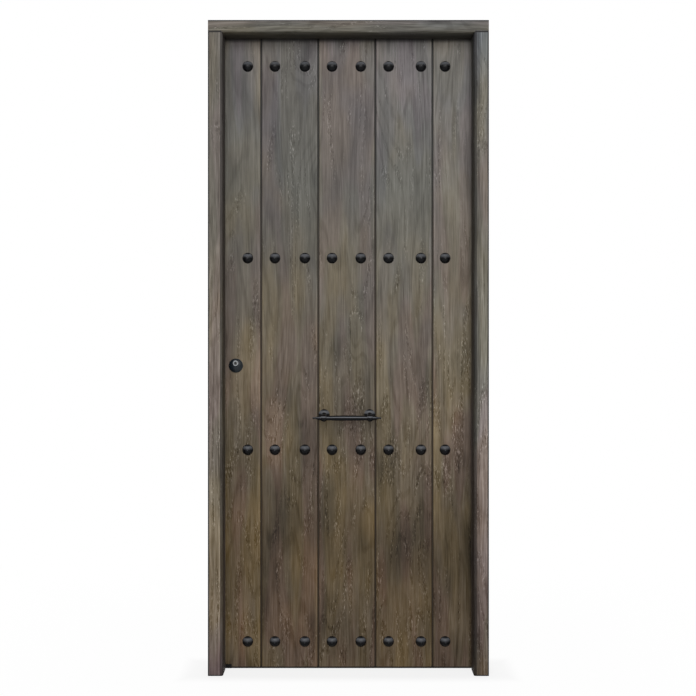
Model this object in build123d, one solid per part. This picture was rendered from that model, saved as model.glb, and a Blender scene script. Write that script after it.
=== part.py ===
"""Boarded exterior door in its frame: a rebated three-sided frame, and a leaf of vertical boards on
a stile-and-rail core, hung on three butt hinges, with domed studs, a key cylinder and a forged pull.

Millimetres. X runs to the right as seen from outside, Y runs inwards, Z up. The origin is where the
wall face of the hinge jamb meets the floor, at mid depth of the frame.
"""

import math
import os

from build123d import *

# Frame
FRAME_WIDTH = 900.0
FRAME_HEIGHT = 2100.0
JAMB_WIDTH = 48.0  # face of a jamb, up to the reveal
HEAD_HEIGHT = 40.0  # face of the head, down to the reveal
EDGE_ROUND = 5.5  # rounded inner front edge of jambs and head
OUTER_ROUND = 2.5  # eased outer front edge of jambs and head
RECESS = 60.0  # from the front of the frame back to the face of the leaf
REBATE = 15.0  # how far the rebate is cut back behind the reveal
STOP_GAP = 8.0  # from the back of the stop to the face of the leaf

# Weather seal in the back of the stop
SEAL_WIDTH = 6.0
SEAL_SEAT = 4.0  # depth of its groove
SEAL_PROUD = 3.0
SEAL_INSET = 2.0  # from the reveal to the groove

# Leaf
HINGE_GAP = 5.0
LOCK_GAP = 7.0  # wider, because the face edge of the leaf swings out as it opens
TOP_GAP = 5.0
FLOOR_GAP = 6.0
OUTER_BOARD = 15.0
CORE = 17.0
INNER_BOARD = 12.0
LOCK_STILE = 120.0
HINGE_STILE = 100.0
TOP_RAIL = 120.0
BOTTOM_RAIL = 160.0

# Boards
BOARD_COUNT = 5
LOCK_SIDE_BOARD = 124.2  # the two outermost boards; the others share the width between them
HINGE_SIDE_BOARD = 136.2
JOINT_WIDTH = 6.0
JOINT_DEPTH = 5.0
BOARD_BEVEL = 2.0

# Domed studs, in rows beside the joints between boards
STUD_DIAMETER = 33.0
STUD_RISE = 12.0
STUD_RIM = 1.0
STUD_ROWS = 4
STUD_FROM_BOTTOM = 82.0  # lowest row, from the bottom of the leaf
STUD_FROM_TOP = 98.0  # highest row, from the top of the leaf
STUD_OFFSETS = ((44.0, 45.0), (44.0, 45.0), (48.0, 43.0), (38.0, 41.0))  # left and right of each joint

# Key cylinder and its escutcheons
LOCK_BACKSET = 41.5  # from the lock edge of the leaf to the cylinder
KEY_HEIGHT = 1000.0
CYLINDER_RADIUS = 8.5
CYLINDER_WEB = 10.0
CYLINDER_HEIGHT = 33.0
CYLINDER_CLEARANCE = 0.4
PLUG_RADIUS = 5.6
PLUG_CLEARANCE = 0.25
PLUG_LENGTH = 25.0
KEYWAY_WIDTH = 2.4
KEYWAY_HEIGHT = 9.0
KEYWAY_DEPTH = 18.0
ESCUTCHEON_DIAMETER = 46.0
ESCUTCHEON_RISE = 11.0
ESCUTCHEON_RIM = 2.0
CYLINDER_SUNK = 1.0  # face of the cylinder below the top of the outer escutcheon
PLUG_SUNK = 1.2  # face of the plug below the face of the cylinder
INNER_PLATE_THICKNESS = 5.0
INNER_PLATE_EDGE = 1.5
INNER_PROUD = 1.0  # inner end of the cylinder, past its plate

# Lever on the inside
LEVER_ABOVE_KEY = 85.0
LEVER_ROSE_DIAMETER = 50.0
LEVER_ROSE_THICKNESS = 8.0
LEVER_NECK_RADIUS = 9.0
LEVER_STANDOFF = 50.0  # from the inner face of the leaf to the middle of the grip
LEVER_REACH = 120.0
LEVER_GRIP_RADIUS = 9.0

# Lock faceplate, bolts and strike plate
PLATE_HEIGHT = 240.0
PLATE_WIDTH = 16.0
PLATE_THICKNESS = 3.0
STRIKE_WIDTH = 25.0
STRIKE_THICKNESS = 2.5
BOLT_WIDTH = 10.0
BOLT_LENGTH = 24.0
BOLT_CLEARANCE = 0.3
BOLTS = ((85.0, 16.0), (0.0, 36.0))  # height above the key, height of the bolt: latch, dead bolt
STRIKE_POCKET = 16.0
STRIKE_HOLE_MARGIN = 3.0

# Forged pull handle
PULL_HEIGHT = 831.0  # middle of its bases
PULL_CENTRES = 149.0
PULL_DROP = 7.0  # grip below the bases
PULL_STANDOFF = 46.0
PULL_LENGTH = 222.0
PULL_BASE_DIAMETER = 36.0
PULL_BASE_RISE = 9.0
PULL_BASE_RIM = 1.5
PULL_NECK_RADIUS = 6.5
PULL_FOOT_RADIUS = 9.0  # neck where it leaves its base
PULL_GRIP_RADIUS = 8.6  # at mid length
PULL_WAIST_RADIUS = 7.2  # beside a knob
PULL_KNOB_RADIUS = 11.5
PULL_COLLAR_RADIUS = 7.8  # where the finial leaves its knob
PULL_COLLAR_LENGTH = 4.0
PULL_TIP_RADIUS = 2.0  # thin end of the finial
PULL_BEAD_RADIUS = 3.4  # bead on its tip

# Butt hinges
HINGE_FROM_BOTTOM = 250.0  # middle of the lowest hinge, from the floor
HINGE_FROM_TOP = 290.0  # middle of the highest hinge, from the top of the frame
HINGE_LENGTH = 102.0
FLAP_WIDTH = 28.0
FLAP_THICKNESS = 2.5
KNUCKLE_RADIUS = 6.5
KNUCKLE_GAP = 0.5
KNUCKLE_COUNT = 3
PIN_RADIUS = 3.0
PIN_CLEARANCE = 0.25
PIN_HEAD_RADIUS = 5.0
PIN_HEAD_RISE = 4.0
PIN_HEAD_RIM = 1.0
KNUCKLE_CLEARANCE = 0.6  # between a knuckle and the inner face of the leaf

# Places worked out from the sizes above
LEAF_THICKNESS = OUTER_BOARD + CORE + INNER_BOARD
FRAME_DEPTH = RECESS + LEAF_THICKNESS
FRONT = -FRAME_DEPTH / 2
BACK = FRAME_DEPTH / 2
LEAF_FACE = FRONT + RECESS
STOP_BACK = LEAF_FACE - STOP_GAP
CORE_FACE = LEAF_FACE + OUTER_BOARD
CORE_BACK = CORE_FACE + CORE
CORE_MIDDLE = (CORE_FACE + CORE_BACK) / 2
HINGE_REVEAL = -JAMB_WIDTH
LOCK_REVEAL = -FRAME_WIDTH + JAMB_WIDTH
HINGE_REBATE = HINGE_REVEAL + REBATE
LOCK_REBATE = LOCK_REVEAL - REBATE
HEAD_REVEAL = FRAME_HEIGHT - HEAD_HEIGHT
HEAD_REBATE = HEAD_REVEAL + REBATE
HEAD_SEAT = HEAD_REVEAL + EDGE_ROUND  # where the head sits on the jambs
HINGE_EDGE = HINGE_REBATE - HINGE_GAP
LOCK_EDGE = LOCK_REBATE + LOCK_GAP
LEAF_BOTTOM = FLOOR_GAP
LEAF_TOP = HEAD_REBATE - TOP_GAP
FIRST_JOINT = LOCK_EDGE + LOCK_SIDE_BOARD
LAST_JOINT = HINGE_EDGE - HINGE_SIDE_BOARD
BOARD_PITCH = (LAST_JOINT - FIRST_JOINT) / (BOARD_COUNT - 2)
JOINTS = [FIRST_JOINT + BOARD_PITCH * i for i in range(BOARD_COUNT - 1)]
BOARD_MIDDLE = (FIRST_JOINT + LAST_JOINT) / 2
STUD_LOWEST = LEAF_BOTTOM + STUD_FROM_BOTTOM
STUD_ROW_STEP = (LEAF_TOP - STUD_FROM_TOP - STUD_LOWEST) / (STUD_ROWS - 1)
KEY_X = LOCK_EDGE + LOCK_BACKSET
ESCUTCHEON_Z = KEY_HEIGHT + CYLINDER_RADIUS - CYLINDER_HEIGHT / 2
LEVER_Z = KEY_HEIGHT + LEVER_ABOVE_KEY
HINGE_TOP = FRAME_HEIGHT - HINGE_FROM_TOP
HINGE_HEIGHTS = {
    "bottom": HINGE_FROM_BOTTOM,
    "middle": (HINGE_FROM_BOTTOM + HINGE_TOP) / 2,
    "top": HINGE_TOP,
}
PIN_X = HINGE_REBATE - HINGE_GAP / 2
PIN_Y = BACK + KNUCKLE_RADIUS + KNUCKLE_CLEARANCE


def block(x0, x1, y0, y1, z0, z1):
    """A plain block between two corners."""
    middle = Pos((x0 + x1) / 2, (y0 + y1) / 2, (z0 + z1) / 2)
    return middle * Box(abs(x1 - x0), abs(y1 - y0), abs(z1 - z0))


def upright(points, z0, z1):
    """A polygon drawn in plan, extruded from z0 up to z1."""
    section = make_face(Polyline(*points, close=True))
    return Pos(0, 0, z0) * extrude(section, z1 - z0)


def through(points, y0, y1):
    """A polygon drawn in elevation as (x, z) points, extruded inwards from y0 to y1."""
    section = make_face(Polyline(*[(x, -z) for x, z in points], close=True))
    return Pos(0, y0, 0) * Rot(-90, 0, 0) * extrude(section, y1 - y0)


def rod(x, z, radius, y0, y1):
    """A round bar along Y."""
    return Pos(x, (y0 + y1) / 2, z) * Rot(90, 0, 0) * Cylinder(radius, abs(y1 - y0))


def rounded_edge(start, corner, end):
    """The quarter circle that rounds off a corner between two points."""
    centre = [s + e - c for s, c, e in zip(start, corner, end)]
    middle = tuple(m + (c - m) / math.sqrt(2) for m, c in zip(centre, corner))
    return ThreePointArc(start, middle, end)


def button(diameter, rise, rim):
    """A domed disc on a short straight rim, standing on the XY plane."""
    half = diameter / 2
    crown = rise - rim
    ball = (half**2 + crown**2) / (2 * crown)
    lean = math.asin(half / ball) / 2
    middle = (ball * math.sin(lean), rise - ball + ball * math.cos(lean))
    crest = ThreePointArc((half, rim), middle, (0, rise))
    outline = crest + Polyline((0, rise), (0, 0), (half, 0), (half, rim))
    return revolve(Plane.XZ * make_face(outline), Axis.Z)


def dome(x, z, diameter, rise, rim):
    """A domed disc on the face of the leaf, standing out towards the outside."""
    return Pos(x, LEAF_FACE, z) * Rot(90, 0, 0) * button(diameter, rise, rim)


def mitre(corner_x, inward):
    """The wedge above the mitre line in one top corner; inward points from the wall into the doorway."""
    reveal_x = corner_x + inward * EDGE_ROUND
    points = [(corner_x, HEAD_SEAT), (reveal_x, HEAD_REVEAL), (reveal_x, HEAD_SEAT)]
    return through(points, FRONT, STOP_BACK)


def seal_path(depth0, depth1):
    """The three runs of the weather seal, between two depths."""
    x0 = LOCK_REVEAL - SEAL_INSET - SEAL_WIDTH
    x1 = HINGE_REVEAL + SEAL_INSET + SEAL_WIDTH
    top = HEAD_REVEAL + SEAL_INSET + SEAL_WIDTH
    outer = block(x0, x1, depth0, depth1, 0, top)
    return outer - block(x0 + SEAL_WIDTH, x1 - SEAL_WIDTH, depth0, depth1, 0, top - SEAL_WIDTH)


def flap_seat(leaf_side, z):
    """The block that a hinge flap fills, let into the leaf edge or into the rebate of the jamb."""
    seat_x = HINGE_EDGE if leaf_side else HINGE_REBATE
    depth = -FLAP_THICKNESS if leaf_side else FLAP_THICKNESS
    half = HINGE_LENGTH / 2
    return block(seat_x, seat_x + depth, BACK - FLAP_WIDTH, BACK, z - half, z + half)


def strike_holes(x0, x1):
    """The blocks that the latch and the dead bolt need in the strike plate and the jamb."""
    half = BOLT_WIDTH / 2 + STRIKE_HOLE_MARGIN
    holes = []
    for above, height in BOLTS:
        z = KEY_HEIGHT + above
        rise = height / 2 + STRIKE_HOLE_MARGIN
        holes.append(block(x0, x1, CORE_MIDDLE - half, CORE_MIDDLE + half, z - rise, z + rise))
    return holes


def plate_span():
    """Lowest and highest point of the lock faceplate and of the strike plate."""
    middle = KEY_HEIGHT + BOLTS[0][0] / 2
    return middle - PLATE_HEIGHT / 2, middle + PLATE_HEIGHT / 2


def jamb(wall_x, inward):
    """A rebated jamb with a rounded inner front edge; inward points from the wall into the doorway."""
    reveal_x = wall_x + inward * JAMB_WIDTH
    rebate_x = reveal_x - inward * REBATE
    flat_x = reveal_x - inward * EDGE_ROUND
    eased_x = wall_x + inward * OUTER_ROUND
    outline = [
        rounded_edge((flat_x, FRONT), (reveal_x, FRONT), (reveal_x, FRONT + EDGE_ROUND)),
        rounded_edge((wall_x, FRONT + OUTER_ROUND), (wall_x, FRONT), (eased_x, FRONT)),
        Line((eased_x, FRONT), (flat_x, FRONT)),
        Polyline(
            (reveal_x, FRONT + EDGE_ROUND),
            (reveal_x, STOP_BACK),
            (rebate_x, STOP_BACK),
            (rebate_x, BACK),
            (wall_x, BACK),
            (wall_x, FRONT + OUTER_ROUND),
        ),
    ]
    post = extrude(make_face(Curve() + outline), HEAD_SEAT)
    post -= mitre(flat_x, inward)
    return post - seal_path(STOP_BACK - SEAL_SEAT, STOP_BACK)


def head():
    """The head, seated on both jambs, with its rounded lip mitred into theirs."""
    beam = block(-FRAME_WIDTH, 0, FRONT, BACK, HEAD_SEAT, FRAME_HEIGHT)
    front_edges = beam.faces().sort_by(Axis.Y)[0].edges().sort_by(Axis.Z)
    beam = fillet(front_edges[1:], OUTER_ROUND)
    beam -= block(LOCK_REBATE, HINGE_REBATE, STOP_BACK, BACK, HEAD_SEAT, HEAD_REBATE)
    lip_x0 = LOCK_REVEAL - EDGE_ROUND
    lip_x1 = HINGE_REVEAL + EDGE_ROUND
    lower_edge = rounded_edge((FRONT, HEAD_SEAT), (FRONT, HEAD_REVEAL), (FRONT + EDGE_ROUND, HEAD_REVEAL))
    outline = lower_edge + Polyline(
        (FRONT + EDGE_ROUND, HEAD_REVEAL),
        (STOP_BACK, HEAD_REVEAL),
        (STOP_BACK, HEAD_SEAT),
        (FRONT, HEAD_SEAT),
    )
    lip = Pos(lip_x0, 0, 0) * extrude(Plane.YZ * make_face(outline), lip_x1 - lip_x0)
    clear = block(LOCK_REVEAL, HINGE_REVEAL, FRONT, STOP_BACK, HEAD_REVEAL, HEAD_SEAT)
    ends = mitre(lip_x0, 1) + mitre(lip_x1, -1)
    beam += lip & (clear + ends)
    return beam - seal_path(STOP_BACK - SEAL_SEAT, STOP_BACK)


def board_section(x0, x1, face, back, outward, left_joint, right_joint):
    """Plan of one board: half a joint on each jointed edge, and a small bevel along its face."""
    step = face - outward * JOINT_DEPTH
    bevel = face - outward * BOARD_BEVEL
    left = x0 + (JOINT_WIDTH / 2 if left_joint else 0)
    right = x1 - (JOINT_WIDTH / 2 if right_joint else 0)
    points = [(x0, back)]
    if left_joint:
        points += [(x0, step), (left, step)]
    points += [(left, bevel), (left + BOARD_BEVEL, face), (right - BOARD_BEVEL, face), (right, bevel)]
    if right_joint:
        points += [(right, step), (x1, step)]
    return points + [(x1, back)]


def boards(face, back, outward):
    """The boards of one side of the leaf, from the lock edge to the hinge edge."""
    edges = [LOCK_EDGE, *JOINTS, HINGE_EDGE]
    last = len(edges) - 2
    made = []
    for i, (x0, x1) in enumerate(zip(edges, edges[1:])):
        section = board_section(x0, x1, face, back, outward, i > 0, i < last)
        made.append(upright(section, LEAF_BOTTOM, LEAF_TOP))
    return made


def cylinder_profile(clearance, y0, y1):
    """The key cylinder's section, a circle with a round-ended web under it, between two depths."""
    half = CYLINDER_WEB / 2 + clearance
    low = KEY_HEIGHT + CYLINDER_RADIUS - CYLINDER_HEIGHT + CYLINDER_WEB / 2
    barrel = rod(KEY_X, KEY_HEIGHT, CYLINDER_RADIUS + clearance, y0, y1)
    web = block(KEY_X - half, KEY_X + half, y0, y1, low, KEY_HEIGHT)
    return barrel + web + rod(KEY_X, low, half, y0, y1)


def stud_row(z):
    """One row of domed studs, a pair beside each joint."""
    places = [x + side for x, (left, right) in zip(JOINTS, STUD_OFFSETS) for side in (-left, right)]
    return Compound([dome(x, z, STUD_DIAMETER, STUD_RISE, STUD_RIM) for x in places])


def key_cylinder():
    """The cylinder's body, from the inner plate out to its round nose, and its plug."""
    nose = LEAF_FACE - ESCUTCHEON_RISE + CYLINDER_SUNK
    inner_end = BACK + INNER_PLATE_THICKNESS + INNER_PROUD
    plug_face = nose + PLUG_SUNK
    plug_end = plug_face + PLUG_LENGTH
    body = cylinder_profile(0, LEAF_FACE, inner_end)
    body += rod(KEY_X, KEY_HEIGHT, CYLINDER_RADIUS, nose, LEAF_FACE)
    body -= rod(KEY_X, KEY_HEIGHT, PLUG_RADIUS + PLUG_CLEARANCE, nose, plug_end + PLUG_CLEARANCE)
    plug = rod(KEY_X, KEY_HEIGHT, PLUG_RADIUS, plug_face, plug_end)
    half_width, half_height = KEYWAY_WIDTH / 2, KEYWAY_HEIGHT / 2
    plug -= block(
        KEY_X - half_width, KEY_X + half_width, plug_face, plug_face + KEYWAY_DEPTH,
        KEY_HEIGHT - half_height, KEY_HEIGHT + half_height,
    )
    return body, plug


def outer_escutcheon():
    """A domed rose with a round hole for the cylinder's nose; it covers the cylinder's web."""
    rose = dome(KEY_X, ESCUTCHEON_Z, ESCUTCHEON_DIAMETER, ESCUTCHEON_RISE, ESCUTCHEON_RIM)
    return rose - rod(
        KEY_X, KEY_HEIGHT, CYLINDER_RADIUS + CYLINDER_CLEARANCE, LEAF_FACE - ESCUTCHEON_RISE, LEAF_FACE
    )


def inner_escutcheon():
    """A flat round plate around the inner end of the cylinder."""
    outer = BACK + INNER_PLATE_THICKNESS
    plate = rod(KEY_X, ESCUTCHEON_Z, ESCUTCHEON_DIAMETER / 2, BACK, outer)
    plate = chamfer(plate.edges().group_by(Axis.Y)[-1], INNER_PLATE_EDGE)
    return plate - cylinder_profile(CYLINDER_CLEARANCE, BACK, outer)


def lever():
    """The rose, and the lever: a neck out of the leaf and a round grip with a domed end."""
    rose_end = BACK + LEVER_ROSE_THICKNESS
    rose = rod(KEY_X, LEVER_Z, LEVER_ROSE_DIAMETER / 2, BACK, rose_end)
    rose = chamfer(rose.edges().group_by(Axis.Y)[-1], INNER_PLATE_EDGE)
    grip_y = BACK + LEVER_STANDOFF
    arm = rod(KEY_X, LEVER_Z, LEVER_NECK_RADIUS, rose_end, grip_y)
    arm += Pos(KEY_X, grip_y, LEVER_Z) * Sphere(LEVER_NECK_RADIUS)
    grip = Rot(0, 90, 0) * Cylinder(LEVER_GRIP_RADIUS, LEVER_REACH)
    arm += Pos(KEY_X + LEVER_REACH / 2, grip_y, LEVER_Z) * grip
    arm += Pos(KEY_X + LEVER_REACH, grip_y, LEVER_Z) * Sphere(LEVER_GRIP_RADIUS)
    return rose, arm


def lock_plates():
    """Faceplate in the leaf edge, its bolts drawn back flush, and the strike plate in the jamb."""
    low, high = plate_span()
    half = PLATE_WIDTH / 2
    face = block(LOCK_EDGE, LOCK_EDGE + PLATE_THICKNESS, CORE_MIDDLE - half, CORE_MIDDLE + half, low, high)
    bolts = []
    half = BOLT_WIDTH / 2
    for above, height in BOLTS:
        z = KEY_HEIGHT + above
        bolts.append(
            block(
                LOCK_EDGE, LOCK_EDGE + BOLT_LENGTH, CORE_MIDDLE - half, CORE_MIDDLE + half,
                z - height / 2, z + height / 2,
            )
        )
    slots = [offset(bolt, BOLT_CLEARANCE, kind=Kind.INTERSECTION) for bolt in bolts]
    half = STRIKE_WIDTH / 2
    strike_x = LOCK_REBATE - STRIKE_THICKNESS
    strike = block(strike_x, LOCK_REBATE, CORE_MIDDLE - half, CORE_MIDDLE + half, low, high)
    return face, bolts, slots, strike


def pull_grip():
    """The grip of the pull, turned about X: bellied, with a knob over each neck and beaded finials."""
    half = PULL_LENGTH / 2
    neck = PULL_CENTRES / 2
    knob_out = neck + math.sqrt(PULL_KNOB_RADIUS**2 - PULL_COLLAR_RADIUS**2)
    knob_in = neck - math.sqrt(PULL_KNOB_RADIUS**2 - PULL_WAIST_RADIUS**2)
    collar = knob_out + PULL_COLLAR_LENGTH
    bead = half - PULL_BEAD_RADIUS
    bead_in = bead - math.sqrt(PULL_BEAD_RADIUS**2 - PULL_TIP_RADIUS**2)
    edges = [
        ThreePointArc((-knob_in, PULL_WAIST_RADIUS), (0, PULL_GRIP_RADIUS), (knob_in, PULL_WAIST_RADIUS)),
        Line((-half, 0), (half, 0)),
    ]
    for side in (-1, 1):
        knob_start = (side * knob_in, PULL_WAIST_RADIUS)
        knob_end = (side * knob_out, PULL_COLLAR_RADIUS)
        tip = (side * bead_in, PULL_TIP_RADIUS)
        edges.append(ThreePointArc(knob_start, (side * neck, PULL_KNOB_RADIUS), knob_end))
        edges.append(Polyline(knob_end, (side * collar, PULL_COLLAR_RADIUS), tip))
        edges.append(ThreePointArc(tip, (side * bead, PULL_BEAD_RADIUS), (side * half, 0)))
    return revolve(Plane.XZ * make_face(Curve() + edges), Axis.X)


def pull_handle():
    """The forged pull: two domed bases, and tapered necks that carry the grip a little below them."""
    grip_y = LEAF_FACE - PULL_STANDOFF
    grip_z = PULL_HEIGHT - PULL_DROP
    pull = Pos(BOARD_MIDDLE, grip_y, grip_z) * pull_grip()
    for x in (BOARD_MIDDLE - PULL_CENTRES / 2, BOARD_MIDDLE + PULL_CENTRES / 2):
        start = Vector(x, LEAF_FACE - PULL_BASE_RISE / 2, PULL_HEIGHT)
        end = Vector(x, grip_y, grip_z)
        neck = Cone(PULL_FOOT_RADIUS, PULL_NECK_RADIUS, (end - start).length)
        pull += Plane(origin=(start + end) / 2, z_dir=end - start) * neck
        pull += dome(x, PULL_HEIGHT, PULL_BASE_DIAMETER, PULL_BASE_RISE, PULL_BASE_RIM)
    return pull


def knuckle_spans(z):
    """Lowest and highest point of each knuckle of a hinge, from the bottom up."""
    length = (HINGE_LENGTH - KNUCKLE_GAP * (KNUCKLE_COUNT - 1)) / KNUCKLE_COUNT
    step = length + KNUCKLE_GAP
    low = z - HINGE_LENGTH / 2
    return [(low + step * i, low + step * i + length) for i in range(KNUCKLE_COUNT)]


def hinge_flap(leaf_side, z):
    """One flap with its knuckles: the frame has the outer ones, the leaf the one between."""
    flap = flap_seat(leaf_side, z)
    seat_x = HINGE_EDGE if leaf_side else HINGE_REBATE
    depth = -FLAP_THICKNESS if leaf_side else FLAP_THICKNESS
    for i, (low, high) in enumerate(knuckle_spans(z)):
        if (i % 2 == 1) != leaf_side:
            continue
        middle = Pos(PIN_X, PIN_Y, (low + high) / 2)
        flap += block(seat_x, seat_x + depth, BACK, PIN_Y, low, high)
        flap += middle * Cylinder(KNUCKLE_RADIUS, high - low)
        flap -= middle * Cylinder(PIN_RADIUS + PIN_CLEARANCE, high - low)
    return flap


def hinge_pin(z):
    """The pin with a rounded head at each end, clear of the knuckles."""
    half = HINGE_LENGTH / 2 + PIN_CLEARANCE
    cap = button(2 * PIN_HEAD_RADIUS, PIN_HEAD_RISE, PIN_HEAD_RIM)
    pin = Cylinder(PIN_RADIUS, 2 * half) + Pos(0, 0, half) * cap + Pos(0, 0, -half) * Rot(180, 0, 0) * cap
    return Pos(PIN_X, PIN_Y, z) * pin


def door():
    """Every piece of the door by name."""
    faceplate, bolts, slots, strike = lock_plates()
    body, plug = key_cylinder()
    lever_rose, lever_arm = lever()
    cylinder_hole = cylinder_profile(CYLINDER_CLEARANCE, LEAF_FACE, BACK)
    leaf_seats = [flap_seat(True, z) for z in HINGE_HEIGHTS.values()]
    frame_seats = [flap_seat(False, z) for z in HINGE_HEIGHTS.values()]
    stile_x = LOCK_EDGE + LOCK_STILE
    hang_x = HINGE_EDGE - HINGE_STILE
    rail_top = LEAF_TOP - TOP_RAIL
    rail_bottom = LEAF_BOTTOM + BOTTOM_RAIL

    lock_jamb = jamb(-FRAME_WIDTH, 1) - strike
    for hole in strike_holes(LOCK_REBATE - STRIKE_POCKET, LOCK_REBATE):
        lock_jamb -= hole
    for hole in strike_holes(LOCK_REBATE - STRIKE_THICKNESS, LOCK_REBATE):
        strike -= hole
    hinge_jamb = jamb(0, -1)
    for seat in frame_seats:
        hinge_jamb -= seat

    lock_stile = block(LOCK_EDGE, stile_x, CORE_FACE, CORE_BACK, LEAF_BOTTOM, LEAF_TOP)
    lock_stile -= faceplate
    lock_stile -= cylinder_hole
    for slot in slots:
        lock_stile -= slot
        faceplate -= slot
    hinge_stile = block(hang_x, HINGE_EDGE, CORE_FACE, CORE_BACK, LEAF_BOTTOM, LEAF_TOP)
    outer = boards(LEAF_FACE, CORE_FACE, -1)
    inner = boards(BACK, CORE_BACK, 1)
    outer[0] -= cylinder_hole
    inner[0] -= cylinder_hole
    for seat in leaf_seats:
        hinge_stile -= seat
        inner[-1] -= seat

    pieces = {
        "head": head(),
        "lock_jamb": lock_jamb,
        "hinge_jamb": hinge_jamb,
        "weather_seal": seal_path(STOP_BACK - SEAL_SEAT, STOP_BACK + SEAL_PROUD),
        "strike_plate": strike,
        "lock_stile": lock_stile,
        "hinge_stile": hinge_stile,
        "top_rail": block(stile_x, hang_x, CORE_FACE, CORE_BACK, rail_top, LEAF_TOP),
        "bottom_rail": block(stile_x, hang_x, CORE_FACE, CORE_BACK, LEAF_BOTTOM, rail_bottom),
        "core_panel": block(stile_x, hang_x, CORE_FACE, CORE_BACK, rail_bottom, rail_top),
        "lock_faceplate": faceplate,
        "lock_bolts": Compound(bolts),
        "outer_escutcheon": outer_escutcheon(),
        "inner_escutcheon": inner_escutcheon(),
        "key_cylinder": body,
        "key_plug": plug,
        "lever_rose": lever_rose,
        "lever": lever_arm,
        "pull_handle": pull_handle(),
    }
    for i, (face_board, back_board) in enumerate(zip(outer, inner), 1):
        pieces[f"outer_board_{i}"] = face_board
        pieces[f"inner_board_{i}"] = back_board
    for i in range(STUD_ROWS):
        pieces[f"stud_row_{i + 1}"] = stud_row(STUD_LOWEST + STUD_ROW_STEP * i)
    for place, z in HINGE_HEIGHTS.items():
        pieces[f"{place}_hinge_frame_flap"] = hinge_flap(False, z)
        pieces[f"{place}_hinge_leaf_flap"] = hinge_flap(True, z)
        pieces[f"{place}_hinge_pin"] = hinge_pin(z)
    return pieces


os.makedirs("parts", exist_ok=True)
for name, piece in door().items():
    export_step(piece, f"parts/{name}.step")
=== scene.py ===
import math

import bmesh
import bpy
from mathutils import Matrix, Vector


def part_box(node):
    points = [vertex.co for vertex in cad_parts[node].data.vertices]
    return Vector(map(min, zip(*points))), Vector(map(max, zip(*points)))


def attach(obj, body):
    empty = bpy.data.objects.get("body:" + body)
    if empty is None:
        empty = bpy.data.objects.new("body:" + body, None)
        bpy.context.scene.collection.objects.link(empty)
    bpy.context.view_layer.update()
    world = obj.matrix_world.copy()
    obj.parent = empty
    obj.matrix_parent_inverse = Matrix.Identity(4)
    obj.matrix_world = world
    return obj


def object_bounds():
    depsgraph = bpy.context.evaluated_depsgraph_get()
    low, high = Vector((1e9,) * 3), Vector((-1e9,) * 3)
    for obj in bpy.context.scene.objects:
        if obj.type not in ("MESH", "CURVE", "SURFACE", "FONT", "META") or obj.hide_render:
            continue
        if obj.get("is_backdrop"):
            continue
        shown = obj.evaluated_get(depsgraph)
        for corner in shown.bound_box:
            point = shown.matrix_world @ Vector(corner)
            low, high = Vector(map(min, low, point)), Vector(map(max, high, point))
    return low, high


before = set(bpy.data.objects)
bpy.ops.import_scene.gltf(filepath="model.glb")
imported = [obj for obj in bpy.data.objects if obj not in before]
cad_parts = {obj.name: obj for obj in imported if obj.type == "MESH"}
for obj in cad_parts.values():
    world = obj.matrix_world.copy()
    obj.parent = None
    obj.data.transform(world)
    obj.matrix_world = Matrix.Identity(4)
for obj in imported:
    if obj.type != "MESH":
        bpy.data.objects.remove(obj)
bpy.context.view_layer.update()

# Jambs of the frame: two rebated posts of stained timber, planed, with the grain upright. They are
# screwed to the wall through their backs, and the head sits on them with a scribed, mitred corner.

JAMB_FACE = 0.0425  # width of a jamb's flat face, up to where its inner edge is rounded
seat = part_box("lock_jamb")[1].z
head_low, head_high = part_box("head")
half_width = (head_high.x - head_low.x) / 2
frame_middle = (head_high.x + head_low.x) / 2
jamb_flat = half_width - JAMB_FACE


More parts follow.
